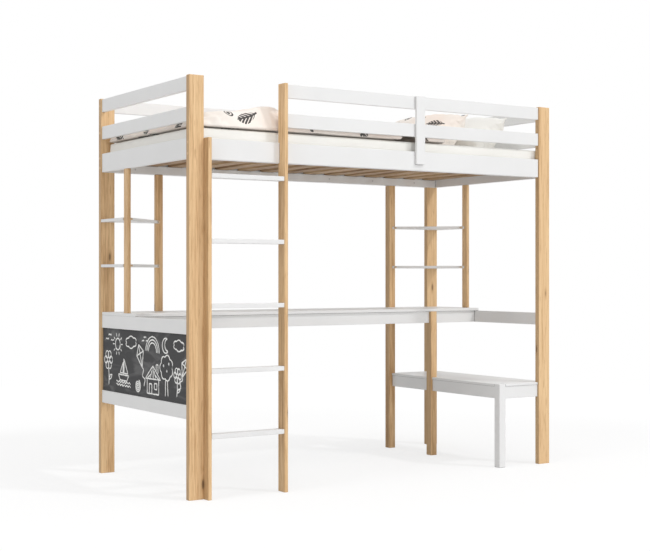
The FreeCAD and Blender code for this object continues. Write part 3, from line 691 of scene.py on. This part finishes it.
def finer(piece, rim):
    """One subdivision, for a smooth outline with a crisp seam along the rim."""
    mesh = piece.data
    ends = np.zeros(len(mesh.edges) * 2, int)
    mesh.edges.foreach_get("vertices", ends)
    on_rim = rim[ends].reshape(-1, 2).all(axis=1)
    crease = mesh.attributes.new("crease_edge", "FLOAT", "EDGE")
    crease.data.foreach_set("value", on_rim.astype(float))
    modifier = piece.modifiers.new("finer", "SUBSURF")
    modifier.levels = 1
    modifier.render_levels = 1


def rolled(t, length):
    """Over one side of the quilt, with t from 0 to 1: the distance from its first edge, and how far the rim's
    roll has come up, from 0 at the seam to 1 on the flat."""
    arc_share = QUILT_ROLL_CLOTH / length
    from_edge = np.minimum(t, 1.0 - t)
    turn = np.clip(from_edge / arc_share, 0.0, 1.0) * math.pi / 2
    flat_share = np.clip(from_edge - arc_share, 0.0, None) / (0.5 - arc_share)
    distance = QUILT_ROLL * (1.0 - np.cos(turn)) + flat_share * (length / 2 - QUILT_ROLL)
    return np.where(t <= 0.5, distance, length - distance), np.sin(turn)


def eased(value, low, high):
    """0 below low and 1 above high, with a smooth rise between."""
    share = np.clip((value - low) / (high - low), 0.0, 1.0)
    return share * share * (3.0 - 2.0 * share)


def fold_noise(kind, x, y, drift=0.0):
    """The noise of one kind of fold at a place."""
    along, across, level = FOLD_WAVES[kind]
    shift_along, shift_across = FOLD_SHIFTS[kind]
    return noise.noise((x * along + shift_along * drift, y * across + shift_across * drift, level))


def folds(x, y):
    """Height of the quilt's soft rumples and fold lines at a place, from about -1 to a little over 0."""
    drift = fold_noise("drift", x, y)
    height = FOLD_BROAD_WEIGHT * fold_noise("broad", x, y, drift)
    for kind, line in FOLD_LINES.items():
        nearness = 1.0 - abs(fold_noise(kind, x, y, drift))
        height += line["weight"] * (nearness ** line["sharpness"] - line["level"])
    return height


def quilt_height(x, b, length):
    """Thickness of the quilt, which heaps up where it is pushed together."""
    stations = np.linspace(0.0, 1.0, QUILT_LINE_POINTS)
    line = np.interp(stations, QUILT_STATION_SHARES, QUILT_HEIGHT_SHARES)
    window = 2 * QUILT_LINE_BLUR + 1
    blurred = np.convolve(np.pad(line, QUILT_LINE_BLUR, mode="edge"), np.ones(window) / window, "valid")
    crowned = QUILT_SIDE_SHARE + QUILT_CROWN_SHARE * np.sin(math.pi * b)
    return QUILT_HEIGHT * np.interp(x / length, stations, blurred) * crowned - QUILT_SWELL


def quilt_arch(x, y, length):
    """How far the front hem stands up off the mattress, where the quilt is folded back on itself."""
    rise, full, fall, down = (share * length for share in QUILT_ARCH_SHARES)
    return QUILT_ARCH * eased(x, rise, full) * eased(-x, -down, -fall) * (1.0 - eased(y, *QUILT_ARCH_DEPTHS))


def quilt_panels(low, length, width):
    """The quilt's upper and lower panels, as grids of points that share a rim, and the cloth laid flat."""
    rows, columns = QUILT_GRID
    a, b = np.meshgrid(np.linspace(0, 1, rows + 1), np.linspace(0, 1, columns + 1), indexing="ij")
    x, lift_a = rolled(a, length)
    y, lift_b = rolled(b, width)
    corner = (1 - lift_a) * (1 - lift_b) * QUILT_CORNER
    spreads = [(lift - QUILT_TUCK_SHARE) / QUILT_TUCK_SPREAD for lift in (lift_a, lift_b)]
    tucks = [QUILT_TUCK * np.exp(-(spread ** 2)) for spread in spreads]
    x = x + np.sign(length / 2 - x) * (corner + tucks[0])
    y = y + np.sign(width / 2 - y) * (corner + tucks[1])
    arch = quilt_arch(x, y, length)
    hem = QUILT_HEM + arch
    thickness = np.maximum(quilt_height(x, b, length) - hem, QUILT_LEAST_HEIGHT)
    rumple = QUILT_RUMPLE * np.vectorize(folds)(x, y)
    top = hem + (thickness + rumple) * (lift_a * lift_b) ** QUILT_ROLL_POWER
    inward = np.minimum(np.minimum(x, length - x), np.minimum(y, width - y))
    bottom = arch + QUILT_HEM * (1.0 - eased(inward, *QUILT_HEM_DEPTHS))
    upper, lower = (np.stack([low.x + x, low.y + y, low.z + level], -1) for level in (top, bottom))
    return upper, lower, np.stack([a * (length + QUILT_ROLL), b * (width + QUILT_ROLL)], -1)


def quilt(material):
    """A thick loose quilt with a rolled rim, rumpled over its length and heaped towards the pillows. Its rim
    and its underside stay in place while it is filled."""
    low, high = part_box("quilt")
    upper, lower, cloth = quilt_panels(low, high.x - low.x, high.y - low.y)
    piece, rim = two_panels("quilt_cover", upper, lower, cloth, material)
    pinned = rim.copy()
    pinned[upper.shape[0] * upper.shape[1]:] = True
    swell(piece, pinned, **QUILT_FILLING)
    points = mesh_points(piece.data)
    set_points(piece, np.clip(points, low, (high.x, high.y, np.inf)))
    finer(piece, rim)
    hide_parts("quilt")
    return piece


def crowded(count):
    """Places from -1 to 1 that lie closer together towards both ends."""
    quarter = math.pi / 2 * PILLOW_CROWD_SHARE
    return np.sin(np.linspace(-1, 1, count + 1) * quarter) / math.sin(quarter)


def pillow_panels():
    """The upper and lower panels of a pillow that lies flat, as grids that share a rim, and its cloth."""
    wide, long, thick = PILLOW_SIZE
    a, b = np.meshgrid(*(crowded(count) for count in PILLOW_GRID), indexing="ij")
    across = a * wide / 2 * (1 - PILLOW_DRAW_IN_SHARE * np.cos(b * math.pi / 2))
    along = b * long / 2 * (1 - PILLOW_DRAW_IN_SHARE * np.cos(a * math.pi / 2))
    falls = [1 - np.minimum(np.abs(place), 1.0) ** power for place, power in zip((a, b), PILLOW_SIDE_POWERS)]
    crown = (falls[0] * falls[1]) ** PILLOW_CROWN_POWER * thick / 2
    upper, lower = (np.stack([across, along, side * crown], -1) for side in (1.0, -1.0))
    return upper, lower, np.stack([a * wide, b * long], -1) * PILLOW_CLOTH_SHARE


def leaned(points):
    """Points turned about the pillow's long axis, so that it leans back."""
    cos, sin = math.cos(PILLOW_LEAN), math.sin(PILLOW_LEAN)
    x, y, z = points.T
    return np.stack([x * cos - z * sin, y, x * sin + z * cos], -1)


def settled(points, level):
    """Points with what would sink below a level flattened on it."""
    above = (points[:, 2] - level) / PILLOW_SOFTNESS
    return np.column_stack([points[:, :2], level + PILLOW_SOFTNESS * np.logaddexp(0.0, above)])


def pillow(name, node, material):
    """A stuffed pillow that leans back on its lower edge, with drawn-in sides and a sewn rim."""
    low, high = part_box(node)
    piece, rim = two_panels(name, *pillow_panels(), material)
    swell(piece, rim, **PILLOW_FILLING)
    points = leaned(mesh_points(piece.data))
    middle = ((low.x + high.x) / 2, (low.y + high.y) / 2, high.z - points[:, 2].max())
    set_points(piece, settled(points + np.add(middle, PILLOW_SLUMP), low.z))
    finer(piece, rim)
    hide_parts(node)
    return piece


def round_loop(half, inset):
    """A rectangle's outline with round corners, in from its sides: places about its middle, and ways out."""
    radius = max(MATTRESS_CORNER - inset, MATTRESS_LEAST_CORNER)
    turns = np.linspace(0.0, math.pi / 2, MATTRESS_STEPS["corner"] + 1)
    arcs = []
    for quarter, signs in enumerate(((1, 1), (-1, 1), (-1, -1), (1, -1))):
        angles = turns + quarter * math.pi / 2
        out = np.stack([np.cos(angles), np.sin(angles)], -1)
        arcs.append((np.array(signs) * (half - inset - radius) + radius * out, out))
    places, directions = [], []
    for quarter, (place, out) in enumerate(arcs):
        next_place = arcs[(quarter + 1) % 4][0]
        shares = np.linspace(0.0, 1.0, MATTRESS_STEPS["short" if quarter % 2 else "long"])[1:-1, None]
        places += [place, place[-1] + shares * (next_place[0] - place[-1])]
        directions += [out, np.repeat(out[-1:], len(shares), axis=0)]
    return np.concatenate(places), np.concatenate(directions)


def mattress_profile(half_width, height):
    """From the middle of the base to the middle of the top: how far in from the sides, and how high."""
    edge = MATTRESS_EDGE
    insets = np.linspace(half_width - MATTRESS_SPINE, edge, MATTRESS_STEPS["flat"])[:-1]
    turns = np.linspace(0.0, math.pi / 2, MATTRESS_STEPS["edge"] + 1)
    levels = np.linspace(edge, height / 2, MATTRESS_STEPS["side"] // 2 + 1)[1:]
    lower = [(inset, 0.0) for inset in insets]
    lower += [(edge * (1 - math.sin(turn)), edge * (1 - math.cos(turn))) for turn in turns]
    lower += [(0.0, level) for level in levels]
    return lower + [(inset, height - level) for inset, level in lower[-2::-1]]


def creased(places, directions, level, upright):
    """Places on the mattress's outline, sunk in where its cover is creased."""
    waves = MATTRESS_WAVES_ALONG
    depths = [noise.noise((x * waves, y * waves, level * MATTRESS_WAVES_UP)) for x, y in places]
    creases = np.clip(np.add(depths, MATTRESS_CREASE_LEVEL), 0.0, None)
    sunk = (MATTRESS_SINK + MATTRESS_CREASE * creases) * upright
    return places - directions * sunk[:, None]


def mattress(material):
    """A foam mattress in a knitted cover, with softly creased sides."""
    low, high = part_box("mattress")
    middle, half = np.array((low + high) / 2)[:2], np.array((high - low) / 2)[:2]
    rings = []
    for inset, level in mattress_profile(half[1], high.z - low.z):
        places, directions = round_loop(half, inset)
        upright = max(0.0, 1.0 - inset / MATTRESS_EDGE)
        places = creased(places + middle, directions, level, upright)
        rings.append(np.column_stack([places, np.full(len(places), low.z + level)]))
    count = len(rings[0])
    around = np.arange(count)
    after = (around + 1) % count
    faces = [around[::-1], (len(rings) - 1) * count + around]
    for ring in range(len(rings) - 1):
        below, above = ring * count, (ring + 1) * count
        faces += list(np.stack([below + around, below + after, above + after, above + around], -1))
    piece = new_piece("mattress_cover", np.concatenate(rings), faces, material)
    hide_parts("mattress")
    return piece


def bedding(looks):
    """The four loose soft pieces, which lift off together."""
    pieces = [
        mattress(looks["mattress_fabric"]),
        quilt(looks["printed_fabric"]),
        pillow("pillow_printed_cover", "pillow_printed", looks["printed_fabric"]),
        pillow("pillow_plain_cover", "pillow_plain", looks["plain_fabric"]),
    ]
    for piece in pieces:
        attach(piece, "bedding")


def arc(h, v, radius, start=0.0, turn=CIRCLE_TURN, grow=0.0):
    """Points round a circle, with angles in turns. It grows by a share of its radius on the way."""
    count = max(ARC_LEAST_POINTS, int(ARC_POINTS * abs(turn)))
    shares = [k / count for k in range(count + 1)]
    spots = [(2 * math.pi * (start + turn * share), radius * (1 + grow * share)) for share in shares]
    return [(h + r * math.cos(angle), v + r * math.sin(angle)) for angle, r in spots]


def scallops(count, wide, high, bulge):
    """A bumpy outline round an oval, as of a cloud."""
    outline = []
    for k in range(SCALLOP_POINTS * count + SCALLOP_OVERLAP):
        angle = 2 * math.pi * k / (SCALLOP_POINTS * count)
        reach = 1 + bulge * abs(math.sin(angle * count / 2))
        outline.append((wide * reach * math.cos(angle), high * reach * math.sin(angle)))
    return outline


def spokes(count):
    """Angles at even steps round a circle."""
    return [2 * math.pi * k / count for k in range(count)]


# Shapes of the drawing: lines of points to the right and up, at a size of about 1


def house():
    walls = [(-0.8, 1.0), (-0.8, 0.0), (0.8, 0.0), (0.8, 1.0)]
    roof = [(-1.05, 0.9), (0.0, 1.7), (1.05, 0.9), (-1.05, 0.9)]
    door = [(-0.5, 0.0), (-0.5, 0.6), (-0.15, 0.6), (-0.15, 0.0)]
    window = [(0.2, 0.3), (0.55, 0.3), (0.55, 0.65), (0.2, 0.65), (0.2, 0.3)]
    chimney = [(0.45, 1.4), (0.45, 1.8), (0.7, 1.8), (0.7, 1.25)]
    tiles = []
    for h in (-0.7, -0.35, 0.05, 0.4, 0.75):
        tiles.append([(h, 0.95), (0.35 * h, 0.95 + 0.75 * (1 - abs(h) / 1.05))])
    return [walls, roof, door, window, chimney, *tiles]


def apple_tree():
    crown = [(h, v + 1.4) for h, v in scallops(7, 0.62, 0.55, 0.18)]
    trunk = [[(-0.14, 0.0), (-0.1, 0.82)], [(0.16, 0.0), (0.1, 0.82)]]
    apples = [arc(h, v, 0.05) for h, v in ((-0.3, 1.5), (0.05, 1.25), (0.28, 1.6))]
    return [crown, *trunk, *apples]


def sun():
    rays = [[(r * math.cos(angle), r * math.sin(angle)) for r in (0.68, 1.0)] for angle in spokes(10)]
    return [arc(0.0, 0.0, 0.5), *rays]


def cloud():
    return [scallops(6, 0.9, 0.42, 0.25)]


def boat():
    hull = [(-1.0, 0.45), (1.0, 0.45), (0.65, 0.0), (-0.65, 0.0), (-1.0, 0.45)]
    mast = [(0.0, 0.45), (0.0, 1.8)]
    main_sail = [(0.1, 0.6), (0.1, 1.75), (0.85, 0.6), (0.1, 0.6)]
    small_sail = [(-0.1, 0.6), (-0.1, 1.5), (-0.65, 0.6), (-0.1, 0.6)]
    waves = []
    for level in (-0.15, -0.4):
        waves.append([(-1.4 + 0.1 * k, level + 0.07 * math.sin(1.3 * k)) for k in range(29)])
    return [hull, mast, main_sail, small_sail, *waves]


def flower():
    petals = [arc(0.36 * math.cos(angle), 1.5 + 0.36 * math.sin(angle), 0.22) for angle in spokes(6)]
    stem = [(0.0, 1.0), (0.06, 0.5), (0.0, 0.0)]
    leaf = [(0.03, 0.35), (0.25, 0.6), (0.5, 0.62), (0.33, 0.38), (0.03, 0.3)]
    return [arc(0.0, 1.5, 0.15), *petals, stem, leaf]


def kite():
    outline = [(0.0, 1.0), (0.6, 0.3), (0.0, -0.8), (-0.6, 0.3), (0.0, 1.0)]
    spars = [[(0.0, 1.0), (0.0, -0.8)], [(-0.6, 0.3), (0.6, 0.3)]]
    tail = [(0.16 * math.sin(0.8 * k), -0.8 - 0.1 * k) for k in range(15)]
    return [outline, *spars, tail]


def spiral():
    return [arc(0.0, 0.0, 0.08, turn=3.2, grow=10.0)]


def rainbow():
    return [arc(0.0, 0.0, radius, turn=0.5) for radius in (0.6, 0.8, 1.0)]


def birds():
    wings = []
    for h, v in ((-0.6, 0.0), (0.1, 0.45), (0.75, -0.1)):
        wings += [arc(h + side, v, 0.2, start=0.05, turn=0.4) for side in (-0.2, 0.2)]
    return wings


def moon():
    return [arc(0.0, 0.0, 0.8, start=0.15, turn=0.7), arc(0.42, 0.05, 0.62, start=0.24, turn=0.52)]


# The drawing, seen from outside the board: each shape's metres to the right and up, size and tilt in radians
DRAWING = (
    (flower, -0.405, 0.440, 0.080, 0.03),
    (sun, -0.300, 0.640, 0.055, 0.00),
    (boat, -0.235, 0.470, 0.058, -0.02),
    (cloud, -0.150, 0.655, 0.055, 0.05),
    (kite, -0.045, 0.590, 0.062, 0.35),
    (spiral, -0.075, 0.455, 0.034, 0.00),
    (birds, -0.395, 0.655, 0.045, 0.00),
    (birds, 0.000, 0.665, 0.032, 0.10),
    (house, 0.085, 0.430, 0.075, 0.00),
    (rainbow, 0.080, 0.620, 0.070, -0.05),
    (apple_tree, 0.225, 0.430, 0.090, 0.02),
    (moon, 0.215, 0.655, 0.042, 0.10),
    (cloud, 0.345, 0.660, 0.048, -0.05),
    (flower, 0.325, 0.435, 0.062, -0.08),
    (kite, 0.395, 0.560, 0.050, -0.45),
)


def by_hand(path, seed):
    """The path at even steps with the wobble of a hand, and the stroke's width along it."""
    turns = np.array(path)
    run = np.concatenate([[0.0], np.cumsum(np.linalg.norm(np.diff(turns, axis=0), axis=1))])
    steps = np.linspace(0.0, run[-1], max(CHALK_LEAST_POINTS, int(run[-1] / CHALK_STEP)))

    def shaky(waves, level):
        return np.array([noise.noise((waves * step, seed, level)) for step in steps])

    lanes = []
    for k in range(2):
        wobble = CHALK_WOBBLE * shaky(CHALK_WOBBLE_WAVES, CHALK_WOBBLE_SLICE * k)
        lanes.append(np.interp(steps, run, turns[:, k]) + wobble)
    width = CHALK_WIDTH * (1.0 + CHALK_WIDTH_SWING * shaky(CHALK_WIDTH_WAVES, CHALK_WIDTH_SLICE))
    width[[0, -1]] *= CHALK_END_SHARE
    return np.stack(lanes, -1), width


def stroke(line, width, back, front):
    """A thin closed strip along a line on the board: points and faces."""
    along = np.gradient(line, axis=0)
    along /= np.linalg.norm(along, axis=1, keepdims=True)
    side = np.stack([-along[:, 1], along[:, 0]], -1) * width[:, None] / 2
    count = len(line)
    lanes = [(line + side, front), (line - side, front), (line - side, back), (line + side, back)]
    points = [(depth, -h, v) for lane, depth in lanes for h, v in lane]
    faces = [(0, count, 2 * count, 3 * count), tuple(count * lane - 1 for lane in (4, 3, 2, 1))]
    for lane in range(4):
        first, second = lane * count, (lane + 1) % 4 * count
        faces += [(first + k, first + k + 1, second + k + 1, second + k) for k in range(count - 1)]
    return points, faces


def outward(piece):
    """Turns all faces of a closed mesh outwards."""
    form = bmesh.new()
    form.from_mesh(piece.data)
    bmesh.ops.recalc_face_normals(form, faces=form.faces)
    form.to_mesh(piece.data)
    form.free()


def chalk_drawing(material):
    """A child's drawing on the board: weather, a house, a tree, flowers, a boat, kites and birds. Later
    strokes are a little thicker, so that no two share a face."""
    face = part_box("chalkboard_panel")[0].x
    points, faces = [], []
    for shape, right, up, size, tilt in DRAWING:
        cos, sin = size * math.cos(tilt), size * math.sin(tilt)
        for path in shape():
            placed = [(right + h * cos - v * sin, up + h * sin + v * cos) for h, v in path]
            depth = CHALK_DEPTH + CHALK_DEPTH_STEP * len(points)
            line, width = by_hand(placed, CHALK_SEED_STEP * len(points))
            new_points, new_faces = stroke(line, width, face, face - depth)
            faces += [tuple(len(points) + k for k in corner) for corner in new_faces]
            points += new_points
    piece = new_piece("chalk_drawing", points, faces, material, smooth=False)
    outward(piece)
    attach(piece, "frame")


def camera():
    data = bpy.data.cameras.new("camera")
    data.lens = CAMERA_LENS
    data.sensor_width = SENSOR_WIDTH
    made = bpy.data.objects.new("camera", data)
    made.location = CAMERA_PLACE
    made.rotation_euler = (math.radians(CAMERA_PITCH), 0.0, math.radians(-CAMERA_TURN))
    bpy.context.scene.collection.objects.link(made)
    bpy.context.scene.camera = made


def lamp(name, place, size, power):
    data = bpy.data.lights.new(name, "AREA")
    data.shape = "DISK"
    data.size = size
    data.energy = power
    made = bpy.data.objects.new(name, data)
    made.location = place
    made.rotation_euler = (LIGHT_AIM - Vector(place)).to_track_quat("-Z", "Y").to_euler()
    bpy.context.scene.collection.objects.link(made)


def seen_directly(tree):
    """1 for rays that show the background itself, in the picture, a reflection or through glass."""
    path = tree.nodes.new("ShaderNodeLightPath")
    total = path.outputs["Is Camera Ray"]
    for name in ("Is Glossy Ray", "Is Transmission Ray"):
        either = tree.nodes.new("ShaderNodeMath")
        either.operation = "MAXIMUM"
        tree.links.new(total, either.inputs[0])
        tree.links.new(path.outputs[name], either.inputs[1])
        total = either.outputs[0]
    return total


def sky():
    """White where it is seen, and a plain soft light elsewhere."""
    world = bpy.data.worlds.new("studio")
    world.use_nodes = True
    bpy.context.scene.world = world
    tree = world.node_tree
    background = tree.nodes["Background"]
    background.inputs["Color"].default_value = WHITE
    level = tree.nodes.new("ShaderNodeMapRange")
    level.inputs["To Min"].default_value = SKY_LEVEL
    level.inputs["To Max"].default_value = 1.0
    tree.links.new(seen_directly(tree), level.inputs["Value"])
    tree.links.new(level.outputs[0], background.inputs["Strength"])


def floor():
    """A pale floor that meets the white background and keeps the bed's soft shadow."""
    reach = FLOOR_REACH
    corners = [(-reach, -reach, 0.0), (reach, -reach, 0.0), (reach, reach, 0.0), (-reach, reach, 0.0)]
    look = Look("floor")
    look.surface(Base_Color=FLOOR_COLOUR, Roughness=FLOOR_ROUGHNESS)
    away = look.measure("LENGTH", look.place)
    strength = look.between(away, FLOOR_NEAR, FLOOR_FAR, FLOOR_GLOW, 1.0)
    share = look.between(away, FLOOR_NEAR, FLOOR_FAR, FLOOR_GLOW_SHARE, 1.0)
    glow = look.node("Emission", Color=WHITE, Strength=strength)
    blend = look.node("MixShader")
    look.feed(blend.inputs[0], look.math("MULTIPLY", seen_directly(look.tree), share))
    look.feed(blend.inputs[1], look.shader.outputs[0])
    look.feed(blend.inputs[2], glow.outputs[0])
    look.feed(look.tree.nodes["Material Output"].inputs["Surface"], blend.outputs[0])
    new_piece("floor", corners, [(0, 1, 2, 3)], look.material)


def studio():
    bpy.context.scene.view_settings.view_transform = "Standard"
    sky()
    for name, settings in LAMPS.items():
        lamp(name, *settings)
    floor()


camera()
studio()
all_looks = finishes()
paint_nodes(all_looks)
bedding(all_looks)
chalk_drawing(all_looks["chalk"])
